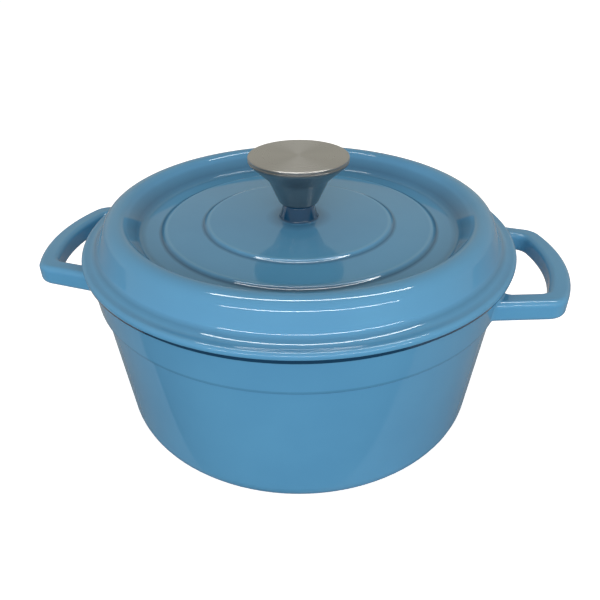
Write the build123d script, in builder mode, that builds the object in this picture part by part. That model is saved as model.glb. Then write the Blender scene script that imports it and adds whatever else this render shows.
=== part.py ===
"""Enamelled cast iron dutch oven: a round pot with two loop handles and a lid with a steel knob.

The origin is the centre of the foot, on the surface that the pot stands on. +Z is up, and the
loop handles lie along X. Sizes are in millimetres. Radii are measured from the Z axis.
"""

import os
from math import cos, radians, sin, sqrt, tan

from build123d import *

# Driving sizes of the whole object
pot_height = 108.0  # from the foot to the rim's face, which the lid rests on
base_radius = 110.2  # where the wall's slope would meet the foot's plane
draft = 5.31  # degrees that the wall leans outwards

# Enamel and castings
enamel = 0.4  # coat of fused glass on every enamelled face
floor_thickness = 4.8  # with its two coats
lid_thickness = 4.6  # with its two coats

# Pot
foot_stand = 0.4  # how far the bare foot ring stands proud of the enamel under the pot
foot_ring_inset = 15.2  # from the base radius in to the ring's outer edge
foot_ring_width = 8.0
foot_ring_root = 0.8  # how far the ring runs up into the casting
base_corner = 13.3  # radius of the bottom corner outside
floor_corner = 16.0  # radius of the bottom corner inside
band_below_handles = 2.0  # how far the plain band under the rim runs on below the handles
band_step = 2.1  # how far the band stands out from the wall
step_round = 0.9
rim_bare = 1.4  # height of the bare iron rim above the outer enamel
rim_inset = 0.9  # how far the bare rim stands back from the enamelled band
rim_round = 1.3
mouth_bare = 1.2  # height of bare iron inside the mouth
rim_edge = 0.6
rim_root = 0.8  # how far the bare rim runs down into the casting
rim_width = 6.0  # of flat bare iron, from the mouth out to the band's face

# Loop handles
handle_projection = 34.8  # from the band at the rim to the middle of a handle's outer edge
handle_drop = 8.0  # from the rim's face down to the handles' top
handle_thickness = 12.0
handle_half_width = 44.5  # at the outer end
handle_root_half_width = 72.0  # where the outer sides would meet above the pot's axis
handle_bow = 10.1  # how far the outer edge bows out in the middle
handle_corner = 12.0
handle_edge = 3.2
bar_width = 11.2
hole_corner = 7.0
root_overlap = 0.5  # how far the loops' shared disc ends inside the band
root_fillet = 8.0  # in plan, where a bar's outer side meets the band
hole_fillet = 4.5  # in plan, where a bar's inner side meets the band
root_round = 1.8  # all round each bar's root

# Lid, heights above the rim's face
lid_overhang = 2.6  # of the lid's face beyond the band
lip_lean = 1.0
lip_height = 4.7
lip_round = 2.4
shoulder_angle = 65.0  # degrees of the outer slope above the lip
shoulder_foot_inset = 7.5  # from the lid's edge
shoulder_fillet = 7.0
crest_height = 21.6
crest_outer_round = 8.0
crest_inner_round = 5.0
dish_angle = 54.5  # degrees of the inner slope
dish_inset = 32.5  # from the lid's edge
dish_height = 9.0
dish_fillet = 3.0
disc_insets = (44.3, 68.7)  # from the lid's edge to the feet of the two raised discs
disc_rise = 1.5
disc_angle = 36.0  # degrees of a disc's edge
disc_foot_round = 4.0
disc_top_round = 2.6
disc_under_round = 1.5
spigot_depth = 4.0  # locating ring that drops inside the mouth
spigot_width = 4.0
spigot_clearance = 0.9

# Boss and fixings
boss_top = 21.0
boss_foot_radius = 11.4
boss_angle = 75.0  # degrees of the boss's side
boss_fillet = 2.0
boss_round = 1.2
gasket_thickness = 0.8
gasket_inset = 0.8  # how far the gasket stands back from the boss's edge
screw_radius = 3.0
screw_clearance = 0.35
screw_head_radius = 5.8
screw_head_height = 3.4
screw_head_round = 1.6
screw_point = 0.6  # bevel at the thread's end
screw_reach = 9.0  # length of thread inside the knob
screw_cross = 6.4
screw_cross_width = 1.3
screw_cross_depth = 2.0
washer_radius = 7.2
washer_thickness = 1.4
spring_washer_radius = 5.4
spring_washer_thickness = 1.5
spring_washer_gap = 1.2
thread_gap = 0.05

# Knob, heights above its foot
knob_height = 27.7
knob_radius = 28.7
knob_foot_radius = 11.3
knob_foot_round = 1.8
knob_waist_radius = 17.5
knob_waist_height = 14.2
knob_waist_round = 12.0
knob_shoulder_height = 24.4
knob_shoulder_round = 1.6
knob_wall = 1.6
knob_foot_thickness = 3.0
cap_thickness = 1.8
cap_edge = 0.7
cap_groove = 0.35  # bevel that leaves a fine groove between skirt and cap
cap_spigot = 2.0
cap_spigot_inset = 4.2  # how far the cap's locating ring stands back from its edge
bush_radius = 5.5
bush_flange_radius = 8.0
bush_flange = 1.5
bush_height = 12.0

# How near to a face an edge or a corner counts as on it
tolerance = 0.02

slope = tan(radians(draft))
lean = cos(radians(draft))
enamel_top = pot_height - rim_bare
handle_top = pot_height - handle_drop
handle_bottom = handle_top - handle_thickness
band_bottom = handle_bottom - band_below_handles
handle_middle = (handle_top + handle_bottom) / 2
lid_face = pot_height  # the lid's face rests on the rim's


def wall_radius(height):
    """Radius of the enamelled wall at a height above the foot."""
    return base_radius + height * slope


def band_radius(height):
    """Radius of the enamelled band at a height above the foot."""
    return wall_radius(height) + band_step


# Radii that follow from the wall's
band_edge_radius = band_radius(enamel_top)
mouth_radius = band_edge_radius - rim_width
rim_outer_radius = band_edge_radius - rim_inset
foot_ring_outer = base_radius - foot_ring_inset
foot_ring_inner = foot_ring_outer - foot_ring_width
handle_reach = band_edge_radius + handle_projection
lid_radius = band_edge_radius + lid_overhang
shoulder_foot_radius = lid_radius - shoulder_foot_inset
dish_radius = lid_radius - dish_inset
disc_radii = [lid_radius - inset for inset in disc_insets]
spigot_radius = mouth_radius - spigot_depth * slope - spigot_clearance


def turned(*outline, rounds):
    """Solid turned about Z from an outline that starts and ends on the axis."""
    with BuildPart() as solid:
        with BuildSketch(Plane.XZ):
            with BuildLine():
                edge = FilletPolyline(*outline, radius=rounds)
                Line(edge @ 1, edge @ 0)
            make_face()
        revolve(axis=Axis.Z)
    return solid.part


def pot_outside(depth):
    """The pot filled to its outside, depth below the enamel's face."""
    back = depth / lean
    base = foot_stand + depth
    step = band_bottom + depth
    top = enamel_top - depth
    return turned(
        (0, base),
        (wall_radius(base) - back, base),
        (wall_radius(step) - back, step),
        (band_radius(step) - back, step),
        (band_radius(top) - back, top),
        (0, top),
        rounds=[base_corner - depth, step_round + depth, step_round - depth, rim_round - depth],
    )


def pot_inside(depth):
    """The pot's hollow, depth behind the face of the enamel inside."""
    floor = foot_stand + floor_thickness - depth
    above = pot_height + spigot_depth
    out = mouth_radius - pot_height * slope + (depth - enamel) / lean
    return turned(
        (0, floor),
        (out + floor * slope, floor),
        (out + above * slope, above),
        (0, above),
        rounds=[floor_corner + depth, 0],
    )


def loop_core(depth):
    """Radius of the disc that joins the loops, hidden just inside the band."""
    return band_radius(handle_bottom) - depth / lean - root_overlap


def on_circle(vertex, radius):
    """Whether a plan vertex lies on a circle about the axis."""
    return abs(sqrt(vertex.X**2 + vertex.Y**2) - radius) < tolerance


def loop_shape(inset):
    """Plan that both loops' edges follow, inset from the outer edge."""
    tip = handle_reach - handle_bow
    wide = handle_half_width
    with BuildSketch() as shape:
        with BuildLine():
            ThreePointArc((tip, -wide), (handle_reach, 0), (tip, wide))
            Polyline((tip, wide), (0, handle_root_half_width), (-tip, wide))
            ThreePointArc((-tip, wide), (-handle_reach, 0), (-tip, -wide))
            Polyline((-tip, -wide), (0, -handle_root_half_width), (tip, -wide))
        make_face()
        if inset:
            offset(amount=-inset)
    return shape.sketch


def loop_holes(depth):
    """Plan of the two finger holes, between the bars and the band."""
    core = loop_core(depth)
    with BuildSketch() as holes:
        add(loop_shape(bar_width))
        fillet(holes.vertices().filter_by(lambda v: abs(v.X) > mouth_radius), hole_corner)
        if depth:
            offset(amount=depth)
        Circle(core, mode=Mode.SUBTRACT)
        fillet(holes.vertices().filter_by(lambda v: on_circle(v, core)), hole_fillet + depth)
    return holes.sketch


def loop_plan(depth):
    """Plan of both loop handles, joined by a disc that ends just inside the band."""
    core = loop_core(depth)
    with BuildSketch() as plan:
        add(loop_shape(0))
        fillet(plan.vertices().filter_by(lambda v: abs(v.X) > mouth_radius), handle_corner)
        if depth:
            offset(amount=-depth)
        Circle(core)
        fillet(plan.vertices().filter_by(lambda v: on_circle(v, core)), root_fillet + depth)
        add(loop_holes(depth), mode=Mode.SUBTRACT)
    return plan.sketch


def loops(depth):
    """Both loop handles with rounded edges, depth below the enamel's face."""
    with BuildPart() as solid:
        with BuildSketch(Plane.XY.offset(handle_bottom + depth)):
            add(loop_plan(depth))
        extrude(amount=handle_thickness - 2 * depth)
        fillet(solid.edges().filter_by(Plane.XY), handle_edge - depth)
    return solid.part


def pot_and_loops(depth):
    """The filled pot with its handles, depth below the enamel's face."""
    with BuildPart() as solid:
        add(pot_outside(depth))
        add(loops(depth))

        def at_root(edge):
            middle = edge @ 0.5
            gap = sqrt(middle.X**2 + middle.Y**2) - band_radius(middle.Z) + depth / lean
            beside_bar = abs(middle.Z - handle_middle) < handle_thickness * 0.6
            return beside_bar and abs(gap) < tolerance and edge.geom_type != GeomType.LINE

        fillet(solid.edges().filter_by(at_root), root_round + depth)
    return solid.part


def inward_slope(foot_radius, foot_height, angle, height, depth):
    """Radius at a height of a slope that climbs towards the axis, depth under its face."""
    climb = (height - foot_height) / tan(radians(angle))
    return foot_radius - climb - depth / sin(radians(angle))


def shoulder(height, depth):
    """Radius of the lid's outer slope."""
    return inward_slope(shoulder_foot_radius, lip_height, shoulder_angle, height, depth)


def dish(height, depth):
    """Radius of the slope that falls from the crest to the dished middle."""
    climb = (height - dish_height) / tan(radians(dish_angle))
    return dish_radius + climb + depth / sin(radians(dish_angle))


def disc_steps(depth):
    """Outline corners of the raised discs, from the outer one's foot inwards."""
    corners = []
    for step, radius in enumerate(disc_radii):
        foot = dish_height + step * disc_rise
        for height in (foot, foot + disc_rise):
            edge = inward_slope(radius, foot, disc_angle, height - depth, depth)
            corners.append((edge, lid_face + height - depth))
    return corners


disc_top = dish_height + len(disc_radii) * disc_rise


def boss_side(height, depth):
    """Radius of the boss under the knob."""
    return inward_slope(boss_foot_radius, disc_top, boss_angle, height, depth)


def lid_outside(depth):
    """The lid filled down to its face, depth below the enamel's face."""
    lip_top = lip_height - depth
    crest = crest_height - depth
    low = dish_height - depth
    flat = disc_top - depth
    boss = boss_top - depth
    return turned(
        (0, lid_face),
        (lid_radius - depth, lid_face),
        (lid_radius + lip_lean - depth, lid_face + lip_top),
        (shoulder(lip_top, depth), lid_face + lip_top),
        (shoulder(crest, depth), lid_face + crest),
        (dish(crest, depth), lid_face + crest),
        (dish(low, depth), lid_face + low),
        *disc_steps(depth),
        (boss_side(flat, depth), lid_face + flat),
        (boss_side(boss, depth), lid_face + boss),
        (0, lid_face + boss),
        rounds=[
            0,
            lip_round - depth,
            shoulder_fillet + depth,
            crest_outer_round - depth,
            crest_inner_round - depth,
            dish_fillet + depth,
            *[disc_foot_round + depth, disc_top_round - depth] * len(disc_radii),
            boss_fillet + depth,
            boss_round - depth,
        ],
    )


def lid_hollow(depth):
    """The air under the lid inside its locating ring, depth below the lid's top surface."""
    wall = spigot_radius - spigot_width + lid_thickness - depth
    crest = crest_height - depth
    low = dish_height - depth
    meet = lip_height + (shoulder(lip_height, depth) - wall) * tan(radians(shoulder_angle))
    crest_round = (shoulder(crest, depth) - dish(crest, depth)) / 2
    under = lid_face - 2 * spigot_depth
    return turned(
        (0, under),
        (wall, under),
        (wall, lid_face + meet),
        (shoulder(crest, depth), lid_face + crest),
        (dish(crest, depth), lid_face + crest),
        (dish(low, depth), lid_face + low),
        *disc_steps(depth),
        (0, lid_face + disc_top - depth),
        rounds=[0, dish_fillet, crest_round, crest_round, dish_fillet]
        + [disc_under_round, disc_under_round] * len(disc_radii),
    )


def ring(inner, outer, bottom, top):
    """Plain ring about the axis."""
    with BuildPart() as solid:
        with BuildSketch(Plane.XY.offset(bottom)):
            Circle(outer)
            Circle(inner, mode=Mode.SUBTRACT)
        extrude(amount=top - bottom)
    return solid.part


def disc(radius, bottom, top):
    """Plain disc about the axis."""
    with BuildPart() as solid:
        with BuildSketch(Plane.XY.offset(bottom)):
            Circle(radius)
        extrude(amount=top - bottom)
    return solid.part


def knob_bell(base, top, inset):
    """The knob's flared skirt as a filled shape, inset from its outer face."""
    flare = (knob_waist_radius - knob_foot_radius) / knob_waist_height
    with BuildPart() as solid:
        with BuildSketch(Plane.XZ):
            with BuildLine():
                side = FilletPolyline(
                    (-inset, base - inset),
                    (knob_foot_radius + (base - inset) * flare, base - inset),
                    (knob_waist_radius, knob_waist_height),
                    (knob_radius, knob_shoulder_height),
                    (knob_radius, top + inset),
                    radius=[knob_foot_round, knob_waist_round, knob_shoulder_round],
                )
                Polyline(side @ 1, (-inset, top + inset), side @ 0)
            make_face()
            if inset:
                offset(amount=-inset)
        revolve(axis=Axis.Z)
    return solid.part.moved(Location((0, 0, knob_base)))


# Heights of the stack on the boss and under the lid
boss_face = lid_face + boss_top
knob_base = boss_face + gasket_thickness
cap_base = knob_base + knob_height - cap_thickness
lid_ceiling = lid_face + disc_top - lid_thickness
spring_washer_top = lid_ceiling - washer_thickness
head_top = spring_washer_top - spring_washer_thickness
head_bottom = head_top - screw_head_height
screw_top = knob_base + screw_reach
bore_radius = screw_radius + screw_clearance
spigot_bottom = lid_face - spigot_depth

os.makedirs("parts", exist_ok=True)

# Pot: the casting, bare at its rim and its foot ring
foot_ring = ring(foot_ring_inner, foot_ring_outer, 0, foot_stand + foot_ring_root)

with BuildPart() as rim_disc:
    add(disc(rim_outer_radius, enamel_top - rim_root, pot_height))
    fillet(rim_disc.edges().sort_by(Axis.Z)[-1], rim_edge)

with BuildPart() as pot_casting:
    add(pot_and_loops(enamel))
    add(foot_ring)
    add(rim_disc.part)
    add(pot_inside(enamel), mode=Mode.SUBTRACT)
pot_casting.part.label = "pot_casting"
export_step(pot_casting.part, "parts/pot_casting.step")

# Enamel outside the pot, over the handles, up to the bare rim
with BuildPart() as pot_outer_enamel:
    add(pot_and_loops(0))
    add(pot_and_loops(enamel), mode=Mode.SUBTRACT)
    add(foot_ring, mode=Mode.SUBTRACT)
    add(rim_disc.part, mode=Mode.SUBTRACT)
pot_outer_enamel.part.label = "pot_outer_enamel"
export_step(pot_outer_enamel.part, "parts/pot_outer_enamel.step")

# Enamel inside the pot, up to the bare mouth
with BuildPart() as pot_inner_enamel:
    add(pot_inside(enamel))
    add(pot_inside(0), mode=Mode.SUBTRACT)
    split(bisect_by=Plane.XY.offset(pot_height - mouth_bare), keep=Keep.BOTTOM)
pot_inner_enamel.part.label = "pot_inner_enamel"
export_step(pot_inner_enamel.part, "parts/pot_inner_enamel.step")

# Lid: the casting, with the ring that locates it in the mouth
spigot = ring(spigot_radius - spigot_width, spigot_radius, spigot_bottom, lid_face + lip_height / 2)

with BuildPart() as lid_casting:
    add(lid_outside(enamel))
    add(spigot)
    add(lid_hollow(lid_thickness - enamel), mode=Mode.SUBTRACT)
    with Locations((0, 0, boss_face)):
        Hole(bore_radius)
lid_casting.part.label = "lid_casting"
export_step(lid_casting.part, "parts/lid_casting.step")

with BuildPart() as lid_outer_enamel:
    add(lid_outside(0))
    add(lid_outside(enamel), mode=Mode.SUBTRACT)
    with Locations((0, 0, boss_face)):
        Hole(bore_radius)
lid_outer_enamel.part.label = "lid_outer_enamel"
export_step(lid_outer_enamel.part, "parts/lid_outer_enamel.step")

with BuildPart() as lid_inner_enamel:
    add(lid_hollow(lid_thickness - enamel))
    add(lid_hollow(lid_thickness), mode=Mode.SUBTRACT)
    split(bisect_by=Plane.XY.offset(spigot_bottom), keep=Keep.TOP)
    with Locations((0, 0, boss_face)):
        Hole(bore_radius)
lid_inner_enamel.part.label = "lid_inner_enamel"
export_step(lid_inner_enamel.part, "parts/lid_inner_enamel.step")

# Knob: a flared skirt closed by a flat cap, with a threaded bush in its foot
with BuildPart() as knob_skirt:
    add(knob_bell(0, cap_base - knob_base, 0))
    add(knob_bell(knob_foot_thickness, cap_base - knob_base + knob_wall, knob_wall), mode=Mode.SUBTRACT)
    chamfer(knob_skirt.edges().group_by(Axis.Z)[-1].sort_by(SortBy.RADIUS)[-1], cap_groove)
    add(disc(bush_flange_radius, knob_base, knob_base + bush_flange), mode=Mode.SUBTRACT)
    add(disc(bush_radius, knob_base, knob_base + bush_height), mode=Mode.SUBTRACT)
knob_skirt.part.label = "knob_skirt"
export_step(knob_skirt.part, "parts/knob_skirt.step")

cap_spigot_radius = knob_radius - cap_spigot_inset
with BuildPart() as knob_cap:
    add(disc(knob_radius, cap_base, cap_base + cap_thickness))
    fillet(knob_cap.edges().sort_by(Axis.Z)[-1], cap_edge)
    chamfer(knob_cap.edges().sort_by(Axis.Z)[0], cap_groove)
    add(ring(cap_spigot_radius - knob_wall, cap_spigot_radius, cap_base - cap_spigot, cap_base))
knob_cap.part.label = "knob_cap"
export_step(knob_cap.part, "parts/knob_cap.step")

with BuildPart() as knob_bush:
    add(disc(bush_flange_radius, knob_base, knob_base + bush_flange))
    add(disc(bush_radius, knob_base, knob_base + bush_height))
    add(disc(screw_radius + thread_gap, knob_base, knob_base + bush_height), mode=Mode.SUBTRACT)
knob_bush.part.label = "knob_threaded_bush"
export_step(knob_bush.part, "parts/knob_threaded_bush.step")

# Gasket between the knob and the boss
with BuildPart() as knob_gasket:
    add(ring(bore_radius, boss_side(boss_top, 0) - gasket_inset, boss_face, knob_base))
knob_gasket.part.label = "knob_gasket"
export_step(knob_gasket.part, "parts/knob_gasket.step")

# Screw from under the lid, with a flat washer and a split spring washer
with BuildPart() as knob_screw:
    add(disc(screw_radius, head_top, screw_top))
    chamfer(knob_screw.edges().sort_by(Axis.Z)[-1], screw_point)
    add(disc(screw_head_radius, head_bottom, head_top))
    fillet(knob_screw.edges().sort_by(Axis.Z)[0], screw_head_round)
    with BuildSketch(Plane.XY.offset(head_bottom)):
        Rectangle(screw_cross, screw_cross_width)
        Rectangle(screw_cross_width, screw_cross)
    extrude(amount=screw_cross_depth, mode=Mode.SUBTRACT)
knob_screw.part.label = "knob_screw"
export_step(knob_screw.part, "parts/knob_screw.step")

with BuildPart() as flat_washer:
    add(ring(bore_radius, washer_radius, spring_washer_top, lid_ceiling))
flat_washer.part.label = "screw_flat_washer"
export_step(flat_washer.part, "parts/screw_flat_washer.step")

with BuildPart() as spring_washer:
    add(ring(bore_radius, spring_washer_radius, head_top, spring_washer_top))
    with Locations((spring_washer_radius, 0, head_top)):
        Box(2 * spring_washer_radius, spring_washer_gap, 4 * spring_washer_thickness, mode=Mode.SUBTRACT)
spring_washer.part.label = "screw_spring_washer"
export_step(spring_washer.part, "parts/screw_spring_washer.step")
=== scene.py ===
"""Studio scene for an enamelled cast iron dutch oven: its finishes, glazed skins, knob and lights.

Lengths are in metres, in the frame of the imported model: the origin is the centre of the foot,
+Z is up and the loop handles lie along X.
"""

from __future__ import annotations

import logging
import math
from dataclasses import dataclass, field
from enum import Enum
from typing import Any

import bpy
from mathutils import Matrix, Vector

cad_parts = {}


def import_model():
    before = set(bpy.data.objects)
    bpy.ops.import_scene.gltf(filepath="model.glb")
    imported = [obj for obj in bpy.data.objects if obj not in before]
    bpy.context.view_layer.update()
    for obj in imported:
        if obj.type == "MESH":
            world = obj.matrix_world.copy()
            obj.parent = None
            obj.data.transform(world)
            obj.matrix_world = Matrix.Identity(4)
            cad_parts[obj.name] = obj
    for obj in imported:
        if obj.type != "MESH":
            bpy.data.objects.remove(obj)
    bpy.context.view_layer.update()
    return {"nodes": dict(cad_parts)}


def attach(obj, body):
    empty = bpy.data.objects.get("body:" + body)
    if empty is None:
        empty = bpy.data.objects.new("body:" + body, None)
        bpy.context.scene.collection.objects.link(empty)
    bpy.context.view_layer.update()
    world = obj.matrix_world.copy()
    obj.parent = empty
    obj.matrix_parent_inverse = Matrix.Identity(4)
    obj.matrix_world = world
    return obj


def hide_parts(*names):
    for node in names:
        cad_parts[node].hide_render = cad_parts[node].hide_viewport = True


logging.basicConfig(level=logging.INFO, format="%(message)s")
log = logging.getLogger("dutch_oven")

SEED_SIZE = 0.001
WELD_DISTANCE = 0.000002
SMOOTH_ANGLE = 25.0
STRAIGHT_ANGLE = 179.5

Colour = tuple[float, float, float]
Point = tuple[float, float]


class Slot(str, Enum):
    """Names of two of the record's material slots; nothing in the script uses them."""

    BLUE = "blue_enamel"
    STEEL = "brushed_steel"


def rgba(colour: Colour) -> tuple[float, float, float, float]:
    """Returns a colour with full alpha."""
    return (*colour, 1.0)


class Term:
    """A number in a shader: wraps a socket, so that maths on it adds Math nodes."""

    def __init__(self, tree: Tree, socket: bpy.types.NodeSocket) -> None:
        """Keeps the tree that the nodes go to and the socket that holds the number."""
        self.tree = tree
        self.socket = socket

    def _with(self, operation: str, *others: Any, clamp: bool = False) -> Term:
        """Joins this number with others by one Math node.

        Args:
            operation: The node's operation.
            others: The other numbers, as terms or plain values.
            clamp: Whether the result is kept between 0 and 1.

        Returns:
            The result.
        """
        values = {place: other for place, other in enumerate((self, *others))}
        settings = {"operation": operation, "use_clamp": clamp}
        return self.tree.node("ShaderNodeMath", settings, values).term("Value")

    def __add__(self, other: Any) -> Term:
        """Returns the sum."""
        return self._with("ADD", other)

    def __sub__(self, other: Any) -> Term:
        """Returns the difference."""
        return self._with("SUBTRACT", other)

    def __rsub__(self, other: Any) -> Term:
        """Returns the difference, taken from the other."""
        return self * -1.0 + other

    def __mul__(self, other: Any) -> Term:
        """Returns the product."""
        return self._with("MULTIPLY", other)

    def __truediv__(self, other: Any) -> Term:
        """Returns the quotient."""
        return self._with("DIVIDE", other)

    def __abs__(self) -> Term:
        """Returns the size without its sign."""
        return self._with("ABSOLUTE")

    def squared(self) -> Term:
        """Returns the number times itself."""
        return self * self

    def root(self) -> Term:
        """Returns the square root."""
        return self._with("SQRT")

    def clamped(self) -> Term:
        """Returns the number kept between 0 and 1."""
        return self._with("ADD", 0.0, clamp=True)

    def ramped(self, low: float, high: float) -> Term:
        """Eases from 0 to 1 between two values.

        Args:
            low: The value that gives 0.
            high: The value that gives 1.

        Returns:
            The eased number.
        """
        settings = {"interpolation_type": "SMOOTHSTEP"}
        sockets = {"Value": self, "From Min": low, "From Max": high}
        return self.tree.node("ShaderNodeMapRange", settings, sockets).term("Result")


class Built:
    """A node that a tree has made."""

    def __init__(self, tree: Tree, node: bpy.types.Node) -> None:
        """Keeps the tree and the node."""
        self.tree = tree
        self.node = node

    def term(self, output: str) -> Term:
        """Returns one output as a number for shader maths."""
        return Term(self.tree, self.node.outputs[output])

    def out(self, output: str | int) -> bpy.types.NodeSocket:
        """Returns one output's socket."""
        return self.node.outputs[output]


class Tree:
    """A node tree, with one method that makes its nodes."""

    def __init__(self, tree: bpy.types.NodeTree) -> None:
        """Keeps the tree."""
        self.tree = tree

    def node(self, kind: str, settings: dict[str, Any], sockets: dict[Any, Any]) -> Built:
        """Adds a node.

        Args:
            kind: The node's type.
            settings: Its properties, set before its sockets.
            sockets: Values, terms or sockets for its inputs, by name or place.

        Returns:
            The node, wrapped.
        """
        node = self.tree.nodes.new(kind)
        for key, value in settings.items():
            setattr(node, key, value)
        for key, value in sockets.items():
            if isinstance(value, Term):
                value = value.socket
            if isinstance(value, bpy.types.NodeSocket):
                self.tree.links.new(value, node.inputs[key])
            else:
                node.inputs[key].default_value = value
        return Built(self, node)

    def mix(self, share: Term, low: Any, high: Any) -> bpy.types.NodeSocket:
        """Mixes two colours.

        Args:
            share: How much of the second colour shows.
            low: The first colour, plain or as a socket.
            high: The second colour, plain or as a socket.

        Returns:
            The mixed colour.
        """
        first = rgba(low) if isinstance(low, tuple) else low
        second = rgba(high) if isinstance(high, tuple) else high
        sockets = {0: share, 6: first, 7: second}
        return self.node("ShaderNodeMix", {"data_type": "RGBA"}, sockets).out(2)


class Recipe(Tree):
    """The node tree of one material."""

    def __init__(self, name: str) -> None:
        """Makes an empty material with an output.

        Args:
            name: The material's name.
        """
        self.material = bpy.data.materials.new(name)
        self.material.use_nodes = True
        super().__init__(self.material.node_tree)
        self.tree.nodes.clear()
        self.output = self.tree.nodes.new("ShaderNodeOutputMaterial")

    def place(self) -> bpy.types.NodeSocket:
        """Returns the point's own coordinates, in metres."""
        return self.node("ShaderNodeTexCoord", {}, {}).out("Object")

    def axes(self) -> tuple[Term, Term, Term]:
        """Returns the point's X, Y and Z as numbers."""
        split = self.node("ShaderNodeSeparateXYZ", {}, {"Vector": self.place()})
        return split.term("X"), split.term("Y"), split.term("Z")

    def radius(self) -> Term:
        """Returns the distance from the Z axis."""
        x, y, _ = self.axes()
        return (x.squared() + y.squared()).root()

    def noise(
        self,
        scale: float,
        detail: float,
        roughness: float = 0.5,
        where: bpy.types.NodeSocket | None = None,
    ) -> Term:
        """Makes a soft random pattern.

        Args:
            scale: Features to the metre.
            detail: Octaves of finer pattern.
            roughness: How strong each finer octave is.
            where: Where the pattern is read, the point's own coordinates if left out.

        Returns:
            The pattern, between 0 and 1.
        """
        sockets = {
            "Vector": self.place() if where is None else where,
            "Scale": scale,
            "Detail": detail,
            "Roughness": roughness,
        }
        return self.node("ShaderNodeTexNoise", {}, sockets).term("Fac")

    def bump(self, height: Term, distance: float) -> bpy.types.NodeSocket:
        """Makes a normal that follows a height.

        Args:
            height: The pattern, between 0 and 1.
            distance: What a height of 1 stands for, in metres.

        Returns:
            The normal.
        """
        sockets = {"Height": height, "Distance": distance, "Strength": 1.0}
        return self.node("ShaderNodeBump", {}, sockets).out("Normal")

    def finish(self, sockets: dict[str, Any]) -> bpy.types.Material:
        """Closes the material with one surface shader.

        Args:
            sockets: The shader's inputs.

        Returns:
            The material.
        """
        shader = self.node("ShaderNodeBsdfPrincipled", {}, sockets)
        self.tree.links.new(shader.out("BSDF"), self.output.inputs["Surface"])
        return self.material


@dataclass(frozen=True)
class PaintedRing:
    """A ring about the Z axis painted darker, as painted shade in a hollow, or paler, as a painted
    highlight over an edge.
    """

    radius: float
    width: float
    height: float
    depth: float
    share: float
    # True for a ring of painted shade, False for a painted highlight on an edge.
    is_shade: bool = True


@dataclass(frozen=True)
class Enamel:
    """A glossy coat of fused glass."""

    name: str
    colour: Colour
    deep_colour: Colour
    roughness: float = 0.045
    # Colours of the rings: painted shade, and painted highlight.
    painted_shade_colour: Colour = (0.006, 0.045, 0.10)
    painted_highlight_colour: Colour = (0.20, 0.44, 0.62)
    painted_rings: tuple[PaintedRing, ...] = ()
    wave_scale: float = 38.0
    wave_height: float = 0.00003
    peel_scale: float = 420.0
    peel_height: float = 0.000001
    cloud_scale: float = 14.0
    cloud_span: Point = (0.35, 0.7)
    gloss_scale: float = 90.0
    gloss_spread: float = 0.03
    index: float = 1.52
    # How ragged and how soft the edges of the painted rings are.
    painted_edge_scale: float = 160.0
    painted_edge_reach: float = 0.0004
    painted_ease: float = 0.3

    def material(self) -> bpy.types.Material:
        """Mixes the coat: cloudy colour, rings of painted shade and painted highlight if given,
        slow waves and a fine orange peel.

        Returns:
            The coat.
        """
        recipe = Recipe(self.name)
        cloud = recipe.noise(self.cloud_scale, 3.0).ramped(*self.cloud_span)
        colour = recipe.mix(cloud, self.colour, self.deep_colour)
        if self.painted_rings:
            colour = self.with_painted_light(recipe, colour)
        waves = recipe.noise(self.wave_scale, 2.0)
        peel = recipe.noise(self.peel_scale, 1.0)
        height = waves + peel * (self.peel_height / self.wave_height)
        smoothest = self.roughness - self.gloss_spread / 2
        gloss = recipe.noise(self.gloss_scale, 3.0) * self.gloss_spread + smoothest
        return recipe.finish(
            {
                "Base Color": colour,
                "Roughness": gloss,
                "IOR": self.index,
                "Normal": recipe.bump(height, self.wave_height),
            }
        )

    def with_painted_light(self, recipe: Recipe, colour: bpy.types.NodeSocket) -> bpy.types.NodeSocket:
        """Adds rings of painted shade in hollows, on the boss and at the seam, and painted
        highlights on edges.

        Args:
            recipe: The material's nodes.
            colour: The colour without the rings.

        Returns:
            The colour with them.
        """
        radius = recipe.radius()
        _, _, height = recipe.axes()
        ragged = (recipe.noise(self.painted_edge_scale, 2.0) - 0.5) * self.painted_edge_reach
        # Each ring mixes painted shade or, on edges, a painted highlight into the coat's colour.
        for painted_ring in self.painted_rings:
            near = 1.0 - abs(radius - painted_ring.radius + ragged) / painted_ring.width
            level = 1.0 - abs(height - painted_ring.height) / painted_ring.depth
            share = near.clamped() * level.ramped(0.0, self.painted_ease) * painted_ring.share
            colour = recipe.mix(share, colour, self.painted_shade_colour if painted_ring.is_shade else self.painted_highlight_colour)
        return colour


@dataclass(frozen=True)
class BareIron:
    """Cast iron with a matt black ground coat."""

    name: str = "bare_cast_iron"
    colour: Colour = (0.012, 0.014, 0.019)
    worn_colour: Colour = (0.045, 0.045, 0.05)
    grain_scale: float = 900.0
    grain_height: float = 0.00025
    worn_scale: float = 60.0
    worn_span: Point = (0.5, 0.75)
    roughness: float = 0.45
    roughness_spread: float = 0.2
    metallic: float = 0.3

    def material(self) -> bpy.types.Material:
        """Mixes the iron: sandy grain, with greyer worn patches.

        Returns:
            The iron.
        """
        recipe = Recipe(self.name)
        grain = recipe.noise(self.grain_scale, 4.0)
        worn = recipe.noise(self.worn_scale, 4.0).ramped(*self.worn_span)
        return recipe.finish(
            {
                "Base Color": recipe.mix(worn, self.colour, self.worn_colour),
                "Roughness": grain * self.roughness_spread + self.roughness,
                "Metallic": self.metallic,
                "Normal": recipe.bump(grain, self.grain_height),
            }
        )


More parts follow.
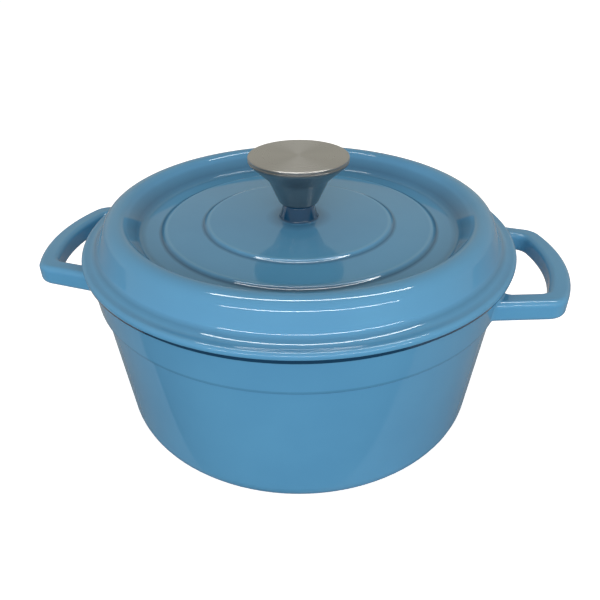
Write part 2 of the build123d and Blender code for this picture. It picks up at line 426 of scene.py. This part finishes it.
@dataclass(frozen=True)
class TurnedSteel:
    """Stainless steel with the fine rings that a lathe and a brush leave."""

    name: str
    colour: Colour = (0.46, 0.46, 0.46)
    roughness: float = 0.27
    anisotropy: float = 0.7
    brush_turn: float = 0.25
    height_share: float = 0.7
    ring_scale: float = 5200.0
    ring_spread: float = 0.18
    band_scale: float = 700.0
    band_spread: float = 0.12
    smudge_scale: float = 70.0
    smudge_spread: float = 0.06
    ring_height: float = 0.00001

    def material(self) -> bpy.types.Material:
        """Mixes the steel: rings about the axis in roughness and bump.

        Returns:
            The steel.
        """
        recipe = Recipe(self.name)
        _, _, height = recipe.axes()
        across = recipe.radius() + height * self.height_share
        line = recipe.node("ShaderNodeCombineXYZ", {}, {"X": across}).out("Vector")
        rings = recipe.noise(self.ring_scale, 3.0, 0.7, line)
        bands = recipe.noise(self.band_scale, 2.0, 0.5, line)
        smudge = recipe.noise(self.smudge_scale, 3.0)
        turning = (rings - 0.5) * self.ring_spread + (bands - 0.5) * self.band_spread
        return recipe.finish(
            {
                "Base Color": rgba(self.colour),
                "Metallic": 1.0,
                "Roughness": turning + smudge * self.smudge_spread + self.roughness,
                "Anisotropic": self.anisotropy,
                "Anisotropic Rotation": self.brush_turn,
                "Normal": recipe.bump(rings + bands, self.ring_height),
            }
        )


@dataclass(frozen=True)
class BrightSteel:
    """Zinc-plated steel of the screw, its washers and the bush."""

    name: str = "zinc_plated_steel"
    colour: Colour = (0.6, 0.61, 0.62)
    spangle_colour: Colour = (0.45, 0.46, 0.5)
    spangle_scale: float = 600.0
    spangle_height: float = 0.00002
    roughness: float = 0.25
    roughness_spread: float = 0.15

    def material(self) -> bpy.types.Material:
        """Mixes the plating, faintly spangled.

        Returns:
            The plating.
        """
        recipe = Recipe(self.name)
        spangle = recipe.noise(self.spangle_scale, 2.0)
        return recipe.finish(
            {
                "Base Color": recipe.mix(spangle, self.colour, self.spangle_colour),
                "Metallic": 1.0,
                "Roughness": spangle * self.roughness_spread + self.roughness,
                "Normal": recipe.bump(spangle, self.spangle_height),
            }
        )


@dataclass(frozen=True)
class Silicone:
    """Matt black silicone of the knob's gasket."""

    name: str = "black_silicone"
    colour: Colour = (0.012, 0.012, 0.012)
    dust_colour: Colour = (0.03, 0.03, 0.03)
    dust_scale: float = 500.0
    dust_height: float = 0.00003
    roughness: float = 0.55
    roughness_spread: float = 0.2

    def material(self) -> bpy.types.Material:
        """Mixes the silicone, slightly dusty.

        Returns:
            The silicone.
        """
        recipe = Recipe(self.name)
        dust = recipe.noise(self.dust_scale, 3.0)
        return recipe.finish(
            {
                "Base Color": recipe.mix(dust, self.colour, self.dust_colour),
                "Roughness": dust * self.roughness_spread + self.roughness,
                "Normal": recipe.bump(dust, self.dust_height),
            }
        )


# Rings painted on the blue glaze: painted shade at the feet of the discs, the dish wall and the
# shoulder, on the boss under the knob, under the pot's band and on both sides of the seam between
# lid and pot; painted highlights on the discs' edges.
PAINTED_GLAZE_RINGS = (
    PaintedRing(0.0805, 0.0018, 0.1175, 0.004, 0.6),  # the outer disc's foot
    PaintedRing(0.0561, 0.0018, 0.1190, 0.004, 0.6),  # the inner disc's foot
    PaintedRing(0.0775, 0.0013, 0.1185, 0.004, 0.4, is_shade=False),  # the outer disc's edge
    PaintedRing(0.0532, 0.0013, 0.1200, 0.004, 0.4, is_shade=False),  # the inner disc's edge
    PaintedRing(0.0945, 0.0060, 0.1190, 0.008, 0.5),  # the dish's wall
    PaintedRing(0.0, 0.0200, 0.1265, 0.0075, 2.6),  # the boss
    PaintedRing(0.1175, 0.0022, 0.1135, 0.003, 0.3),  # the shoulder's foot
    PaintedRing(0.1203, 0.0014, 0.0862, 0.002, 0.25),  # the line under the pot's band
    PaintedRing(0.1245, 0.0060, 0.1080, 0.0016, 3.0),  # the lid's lower edge
    PaintedRing(0.1220, 0.0030, 0.1066, 0.0016, 1.6),  # the pot's upper edge
)


@dataclass(frozen=True)
class Finishes:
    """Every finish of the object."""

    iron: bpy.types.Material
    blue: bpy.types.Material
    cream: bpy.types.Material
    top_steel: bpy.types.Material
    side_steel: bpy.types.Material
    zinc: bpy.types.Material
    silicone: bpy.types.Material

    @classmethod
    def mixed(cls) -> Finishes:
        """Mixes the finishes.

        Returns:
            Every finish, by what it is for.
        """
        return cls(
            iron=BareIron().material(),
            # The blue coat carries the rings of painted shade and painted highlight.
            blue=Enamel(
                "blue_enamel", (0.105, 0.33, 0.55), (0.095, 0.305, 0.52), painted_rings=PAINTED_GLAZE_RINGS
            ).material(),
            cream=Enamel("cream_enamel", (0.74, 0.70, 0.60), (0.70, 0.66, 0.56)).material(),
            top_steel=TurnedSteel("turned_steel").material(),
            # The skirt's steel is a darker, rougher copy of the cap's; its darkness is painted
            # shade.
            side_steel=TurnedSteel("turned_steel_side_shaded", (0.33, 0.33, 0.33), 0.3).material(),
            zinc=BrightSteel().material(),
            silicone=Silicone().material(),
        )


@dataclass(frozen=True)
class Corner:
    """One corner of a turned outline: how far out, how high, and how round."""

    radius: float
    height: float
    round: float = 0.0


def rounded(corners: list[Corner], turn_per_point: float = 5.0) -> list[Point]:
    """Follows an outline round its corners.

    Args:
        corners: The outline, end to end.
        turn_per_point: Degrees of bend between two points on a round corner.

    Returns:
        Points of radius and height, from the first corner to the last.
    """
    points: list[Point] = [(corners[0].radius, corners[0].height)]
    for before, here, after in zip(corners, corners[1:], corners[2:]):
        middle = Vector((here.radius, here.height))
        back = (Vector((before.radius, before.height)) - middle).normalized()
        on = (Vector((after.radius, after.height)) - middle).normalized()
        opening = back.angle(on)
        if here.round <= 0.0 or opening > math.radians(STRAIGHT_ANGLE):
            points.append((here.radius, here.height))
            continue
        centre = middle + (back + on).normalized() * (here.round / math.sin(opening / 2))
        start = middle + back * (here.round / math.tan(opening / 2)) - centre
        swing = start.angle_signed(middle + on * (here.round / math.tan(opening / 2)) - centre)
        count = max(2, math.ceil(math.degrees(abs(swing)) / turn_per_point))
        for number in range(count + 1):
            spoke = start.copy()
            spoke.rotate(Matrix.Rotation(-swing * number / count, 2))
            points.append(tuple(centre + spoke))
    points.append((corners[-1].radius, corners[-1].height))
    return points


def turned(name: str, outline: list[Point], segments: int) -> bpy.types.Object:
    """Turns a closed outline about the Z axis.

    Args:
        name: The piece's name.
        outline: Points of radius and height, the last one not repeating the first.
        segments: Faces round the axis.

    Returns:
        The closed piece, with outward normals.
    """
    bpy.ops.object.select_all(action="DESELECT")
    bpy.ops.mesh.primitive_plane_add(size=SEED_SIZE)
    piece = bpy.context.active_object
    piece.name = name
    bpy.ops.object.mode_set(mode="EDIT")
    bpy.ops.mesh.select_mode(type="VERT")
    bpy.ops.mesh.select_all(action="SELECT")
    bpy.ops.mesh.merge(type="CENTER")
    first = here = outline[0]
    bpy.ops.transform.translate(value=(first[0], 0.0, first[1]))
    for there in [*outline[1:], first]:
        step = (there[0] - here[0], 0.0, there[1] - here[1])
        bpy.ops.mesh.extrude_region_move(TRANSFORM_OT_translate={"value": step})
        here = there
    bpy.ops.mesh.select_all(action="SELECT")
    bpy.ops.mesh.spin(
        steps=segments, angle=math.tau, center=(0.0, 0.0, 0.0), axis=(0.0, 0.0, 1.0)
    )
    bpy.ops.mesh.select_all(action="SELECT")
    bpy.ops.mesh.remove_doubles(threshold=WELD_DISTANCE)
    bpy.ops.mesh.normals_make_consistent(inside=False)
    bpy.ops.object.mode_set(mode="OBJECT")
    bpy.ops.object.shade_smooth_by_angle(angle=math.radians(SMOOTH_ANGLE))
    return piece


@dataclass(frozen=True)
class LidGlaze:
    """The blue coat over the lid: lip, steep shoulder, crest, dished middle, two discs, boss."""

    face: float = 0.108
    coat: float = 0.0004
    radius: float = 0.1248
    lip_lean: float = 0.001
    lip_height: float = 0.0047
    lip_round: float = 0.0024
    shoulder_foot: float = 0.117308
    shoulder_angle: float = 65.0
    shoulder_round: float = 0.007
    crest_height: float = 0.0216
    crest_rounds: Point = (0.008, 0.005)
    dish_foot: float = 0.092308
    dish_height: float = 0.009
    dish_angle: float = 54.5
    dish_round: float = 0.003
    disc_feet: Point = (0.080508, 0.056108)
    disc_rise: float = 0.0015
    disc_angle: float = 36.0
    disc_rounds: Point = (0.004, 0.0026)
    boss_foot: float = 0.0114
    boss_height: float = 0.021
    boss_angle: float = 75.0
    boss_rounds: Point = (0.002, 0.0012)
    bore: float = 0.00335
    segments: int = 224

    def climbing(self, foot: Point, angle: float, height: float, depth: float) -> float:
        """Follows a slope that climbs from its foot, below its face.

        Args:
            foot: Radius and height of the slope's foot.
            angle: Degrees of the slope; over 90 it leans away from the axis.
            height: The height asked for.
            depth: How far below the face.

        Returns:
            The slope's radius at that height.
        """
        lean = math.radians(angle)
        return foot[0] - (height - foot[1]) / math.tan(lean) - depth / math.sin(lean)

    def outline(self, depth: float) -> list[Corner]:
        """Draws the lid's profile from its edge to its bore.

        Args:
            depth: How far below the coat's face.

        Returns:
            The profile's corners, above the coat's lower edge.
        """
        heights = (self.lip_height, self.crest_height, self.dish_height)
        lip, crest, low = (height - depth for height in heights)
        foot = (self.shoulder_foot, self.lip_height)
        bowl = (self.dish_foot, self.dish_height)
        fall = 180.0 - self.dish_angle
        corners = [
            Corner(self.radius - depth, 0.0),
            Corner(self.radius + self.lip_lean - depth, lip, self.lip_round - depth),
            Corner(
                self.climbing(foot, self.shoulder_angle, lip, depth),
                lip,
                self.shoulder_round + depth,
            ),
            Corner(
                self.climbing(foot, self.shoulder_angle, crest, depth),
                crest,
                self.crest_rounds[0] - depth,
            ),
            Corner(self.climbing(bowl, fall, crest, -depth), crest, self.crest_rounds[1] - depth),
            Corner(self.climbing(bowl, fall, low, -depth), low, self.dish_round + depth),
        ]
        for number, radius in enumerate(self.disc_feet):
            step = (radius, self.dish_height + number * self.disc_rise)
            bends = (self.disc_rounds[0] + depth, self.disc_rounds[1] - depth)
            for rise, bend in zip((0.0, self.disc_rise), bends):
                height = step[1] + rise - depth
                out = self.climbing(step, self.disc_angle, height, depth)
                corners.append(Corner(out, height, bend))
        flat = self.dish_height + len(self.disc_feet) * self.disc_rise
        boss = (self.boss_foot, flat)
        bends = (self.boss_rounds[0] + depth, self.boss_rounds[1] - depth)
        for top, bend in zip((flat, self.boss_height), bends):
            height = top - depth
            out = self.climbing(boss, self.boss_angle, height, depth)
            corners.append(Corner(out, height, bend))
        corners.append(Corner(self.bore, self.boss_height - depth))
        return corners

    def build(self) -> bpy.types.Object:
        """Models the coat and puts it in the place of its plain CAD solid.

        Returns:
            The coat.
        """
        outside = rounded(self.outline(0.0))
        inside = rounded(self.outline(self.coat))
        loop = [(radius, self.face + height) for radius, height in [*outside, *reversed(inside)]]
        glaze = turned("lid_glaze", loop, self.segments)
        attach(glaze, "lid")
        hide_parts("lid_outer_enamel")
        return glaze


@dataclass(frozen=True)
class Knob:
    """The turned steel knob: a flared skirt with a flat cap, and a fine groove between them."""

    foot: float = 0.1298
    height: float = 0.0277
    radius: float = 0.0287
    foot_radius: float = 0.0113
    foot_round: float = 0.0018
    waist: Point = (0.0175, 0.0142)
    waist_round: float = 0.012
    shoulder_height: float = 0.0244
    shoulder_round: float = 0.0016
    cap_thickness: float = 0.0018
    cap_edge: float = 0.0007
    groove: float = 0.00035
    wall: float = 0.0016
    bush_radius: float = 0.0055
    flange_radius: float = 0.008
    flange: float = 0.0015
    seat_walls: float = 2.5
    cap_turn_per_point: float = 12.0
    segments: int = 160

    def skirt(self) -> bpy.types.Object:
        """Models the skirt, hollow above its foot.

        Returns:
            The skirt.
        """
        top = self.height - self.cap_thickness
        outside = [
            Corner(self.flange_radius, 0.0),
            Corner(self.foot_radius, 0.0, self.foot_round),
            Corner(self.waist[0], self.waist[1], self.waist_round),
            Corner(self.radius, self.shoulder_height, self.shoulder_round),
            Corner(self.radius, top - self.groove),
            Corner(self.radius - self.groove, top),
            Corner(self.radius - self.seat_walls * self.wall, top),
        ]
        inside = [
            Corner(self.waist[0] - self.wall, self.waist[1] + self.wall / 2),
            Corner(self.foot_radius - self.wall, 2 * self.wall),
            Corner(self.bush_radius, 2 * self.wall),
            Corner(self.bush_radius, self.flange),
            Corner(self.flange_radius, self.flange),
        ]
        points = [*rounded(outside), *((corner.radius, corner.height) for corner in inside)]
        return self.placed("turned_skirt", points, "knob_skirt")

    def cap(self) -> bpy.types.Object:
        """Models the cap, a plate with a soft edge.

        Returns:
            The cap.
        """
        low = self.height - self.cap_thickness
        outline = [
            Corner(0.0, low),
            Corner(self.radius - self.groove, low),
            Corner(self.radius, low + self.groove),
            Corner(self.radius, self.height, self.cap_edge),
            Corner(self.radius / 2, self.height),
            Corner(0.0, self.height),
        ]
        points = rounded(outline, self.cap_turn_per_point)
        return self.placed("turned_cap", points, "knob_cap")

    def placed(self, name: str, points: list[Point], node: str) -> bpy.types.Object:
        """Turns a piece at the knob's height and puts it in the place of its CAD solid.

        Args:
            name: The piece's name.
            points: Its outline, above the knob's foot.
            node: The CAD node that it stands for.

        Returns:
            The piece.
        """
        loop = [(radius, self.foot + height) for radius, height in points]
        piece = turned(name, loop, self.segments)
        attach(piece, "lid")
        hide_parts(node)
        return piece

    def build(self, nodes: dict[str, bpy.types.Object], finishes: Finishes) -> None:
        """Models the skirt and the cap, and dresses them and the gasket under them.

        Args:
            nodes: The CAD nodes by name.
            finishes: The object's finishes.
        """
        # The skirt wears the darker copy of the steel, which is painted shade.
        dress(self.skirt(), finishes.side_steel)
        dress(self.cap(), finishes.top_steel)
        dress(nodes["knob_gasket"], finishes.silicone)


@dataclass(frozen=True)
class Pot:
    """The pot: bare casting with its coat outside and over the handles, and its coat inside."""

    casting: str = "pot_casting"
    outside: str = "pot_outer_enamel"
    inside: str = "pot_inner_enamel"

    def build(self, nodes: dict[str, bpy.types.Object], finishes: Finishes) -> None:
        """Dresses the pot's three nodes.

        Args:
            nodes: The CAD nodes by name.
            finishes: The object's finishes.
        """
        dress(nodes[self.casting], finishes.iron)
        dress(nodes[self.outside], finishes.blue)
        dress(nodes[self.inside], finishes.cream)


@dataclass(frozen=True)
class Lid:
    """The lid: casting, modelled glaze, inner coat and the fixings under it."""

    glaze: LidGlaze = field(default_factory=LidGlaze)
    casting: str = "lid_casting"
    inside: str = "lid_inner_enamel"
    fixings: tuple[str, ...] = (
        "knob_threaded_bush",
        "knob_screw",
        "screw_flat_washer",
        "screw_spring_washer",
    )

    def build(self, nodes: dict[str, bpy.types.Object], finishes: Finishes) -> None:
        """Models the glaze and dresses the lid's nodes.

        Args:
            nodes: The CAD nodes by name.
            finishes: The object's finishes.
        """
        dress(nodes[self.casting], finishes.iron)
        dress(nodes[self.inside], finishes.cream)
        dress(self.glaze.build(), finishes.blue)
        for name in self.fixings:
            dress(nodes[name], finishes.zinc)


def dress(node: bpy.types.Object, material: bpy.types.Material) -> None:
    """Gives a piece one material in the place of what it has.

    Args:
        node: The piece, a CAD node or a new one.
        material: The finish.
    """
    node.data.materials.clear()
    node.data.materials.append(material)
    log.info("dressed %s in %s", node.name, material.name)


@dataclass(frozen=True)
class Lamp:
    """A rectangular lamp, placed by its elevation over the lid's front as the camera sees it."""

    name: str
    distance: float
    elevation: float
    offset: float
    width: float
    depth: float
    brightness: float
    diffuse: bool = True
    glossy: bool = True
    tint: Colour = (1.0, 1.0, 1.0)
    aim: Point = (0.11, 0.12)

    def hang(self, azimuth: float) -> bpy.types.Object:
        """Makes the lamp.

        Args:
            azimuth: The camera's direction from the front, in degrees.

        Returns:
            The lamp.
        """
        data = bpy.data.lights.new(self.name, "AREA")
        data.shape = "RECTANGLE"
        data.size = self.width
        data.size_y = self.depth
        data.color = self.tint
        data.energy = self.brightness * math.pi * self.width * self.depth
        lamp = bpy.data.objects.new(self.name, data)
        bpy.context.scene.collection.objects.link(lamp)
        rise = math.radians(self.elevation)
        radius, height = self.aim
        out = radius + self.distance * math.cos(rise)
        turn = Matrix.Rotation(math.radians(azimuth), 4, "Z")
        shift = Matrix.Translation((self.offset, -out, height + self.distance * math.sin(rise)))
        tilt = Matrix.Rotation(math.radians(90.0 - self.elevation), 4, "X")
        lamp.matrix_world = turn @ shift @ tilt
        lamp.visible_diffuse = self.diffuse
        lamp.visible_glossy = self.glossy
        lamp.visible_camera = False
        return lamp


WARM_WHITE = (1.0, 0.99, 0.95)
YELLOWISH = (1.0, 0.96, 0.74)
PANEL = Lamp("panel_overhead", 1.47, 95.0, 0.17, 1.9, 0.14, 20.0, diffuse=False, tint=WARM_WHITE)
STRIP = Lamp("strip_front", 1.40, 24.4, 0.30, 3.0, 0.05, 26.0)
SKY = Lamp("soft_overhead", 1.8, 100.0, 0.0, 1.6, 1.2, 0.35, glossy=False, tint=YELLOWISH)
WINDOW = Lamp("soft_front", 2.2, 12.0, -0.4, 3.2, 1.6, 2.0, glossy=False)
BACK = Lamp("soft_back", 2.2, 166.0, 0.5, 3.2, 1.6, 1.3, glossy=False)


@dataclass(frozen=True)
class Studio:
    """The camera, the floor and the lights."""

    camera_distance: float = 0.3225
    camera_height: float = 0.2639
    camera_azimuth: float = 8.3
    camera_pitch: float = 32.13
    camera_yaw: float = 0.07
    camera_roll: float = 0.30
    lens: float = 35.29
    sensor: float = 36.0
    floor_size: float = 12.0
    table_grey: float = 0.7
    table_edge: float = -0.098
    table_turn: float = -3.6
    ground_grey: float = 0.22
    floor_depth: float = -0.0002
    table_depth: float = -0.0006
    ground_depth: float = -0.0010
    floor_colour: Colour = (0.86, 0.86, 0.86)
    floor_glow: float = 0.74
    floor_roughness: float = 0.9
    white: Colour = (1.0, 1.0, 1.0)
    room: Colour = (0.26, 0.25, 0.22)
    window: Colour = (0.45, 0.46, 0.47)
    mirrored_room: Colour = (0.52, 0.50, 0.43)
    window_span: Point = (0.5, -1.0)
    lamps: tuple[Lamp, ...] = (PANEL, STRIP, SKY, WINDOW, BACK)

    def build(self) -> None:
        """Makes everything that isn't part of the object."""
        self.place_camera()
        self.lay_floor()
        self.light_world()
        self.hang_lights()

    def place_camera(self) -> None:
        """Sets the camera where it looks down at the lid from the front."""
        data = bpy.data.cameras.new("camera")
        data.lens = self.lens
        data.sensor_width = self.sensor
        data.clip_start = 0.01
        camera = bpy.data.objects.new("camera", data)
        bpy.context.scene.collection.objects.link(camera)
        turn = math.radians(self.camera_azimuth)
        where = Vector((math.sin(turn), -math.cos(turn), 0.0)) * self.camera_distance
        where.z = self.camera_height
        aim = Matrix.Rotation(math.radians(self.camera_azimuth - self.camera_yaw), 4, "Z")
        tilt = Matrix.Rotation(math.radians(90.0 - self.camera_pitch), 4, "X")
        roll = Matrix.Rotation(math.radians(-self.camera_roll), 4, "Z")
        camera.matrix_world = Matrix.Translation(where) @ aim @ tilt @ roll
        bpy.context.scene.camera = camera

    def lay_floor(self) -> None:
        """Lays a plain white floor, with two greyer sheets under it that lights and mirrors see."""
        white = self.sheet("floor", self.floor_depth, self.floor_colour, self.floor_glow)
        white.visible_diffuse = False
        white.visible_glossy = False
        table = self.sheet("table", self.table_depth, (self.table_grey,) * 3, 0.0)
        table.visible_camera = False
        table.location.y = self.table_edge + self.floor_size / 2
        table.rotation_euler.z = math.radians(self.table_turn)
        ground = self.sheet("ground", self.ground_depth, (self.ground_grey,) * 3, 0.0)
        ground.visible_camera = False

    def sheet(self, name: str, height: float, colour: Colour, glow: float) -> bpy.types.Object:
        """Lays one plain sheet.

        Args:
            name: Its name.
            height: How high it lies.
            colour: Its colour.
            glow: How much light it gives out.

        Returns:
            The sheet.
        """
        bpy.ops.mesh.primitive_plane_add(size=self.floor_size, location=(0.0, 0.0, height))
        sheet = bpy.context.active_object
        sheet.name = name
        recipe = Recipe(name + "_paint")
        sheet.data.materials.append(
            recipe.finish(
                {
                    "Base Color": rgba(colour),
                    "Roughness": self.floor_roughness,
                    "Specular IOR Level": 0.0,
                    "Emission Color": rgba(self.white),
                    "Emission Strength": glow,
                }
            )
        )
        return sheet

    def light_world(self) -> None:
        """Fills the room with dim light, brighter in front, behind a white backdrop."""
        world = bpy.data.worlds.new("room")
        bpy.context.scene.world = world
        world.use_nodes = True
        tree = Tree(world.node_tree)
        path = tree.node("ShaderNodeLightPath", {}, {})
        where = tree.node("ShaderNodeTexCoord", {}, {}).out("Generated")
        split = tree.node("ShaderNodeSeparateXYZ", {}, {"Vector": where})
        near, far = self.window_span
        sockets = {"Value": split.out("Y"), "From Min": near, "From Max": far}
        front = tree.node("ShaderNodeMapRange", {}, sockets).term("Result")
        walls = tree.mix(front, self.room, self.window)
        mirrored = tree.mix(path.term("Is Glossy Ray"), walls, self.mirrored_room)
        seen = tree.mix(path.term("Is Camera Ray"), mirrored, self.white)
        background = world.node_tree.nodes["Background"]
        world.node_tree.links.new(seen, background.inputs["Color"])
        bpy.context.scene.view_settings.view_transform = "Standard"

    def hang_lights(self) -> None:
        """Hangs the two lamps whose reflections show, and the broad ones that only light."""
        for lamp in self.lamps:
            lamp.hang(self.camera_azimuth)


def main() -> None:
    """Builds the scene and reports each piece."""
    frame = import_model()
    nodes = frame["nodes"]
    finishes = Finishes.mixed()
    Pot().build(nodes, finishes)
    Lid().build(nodes, finishes)
    Knob().build(nodes, finishes)
    Studio().build()
    log.info("the object is dressed")


if __name__ == "__main__":
    main()
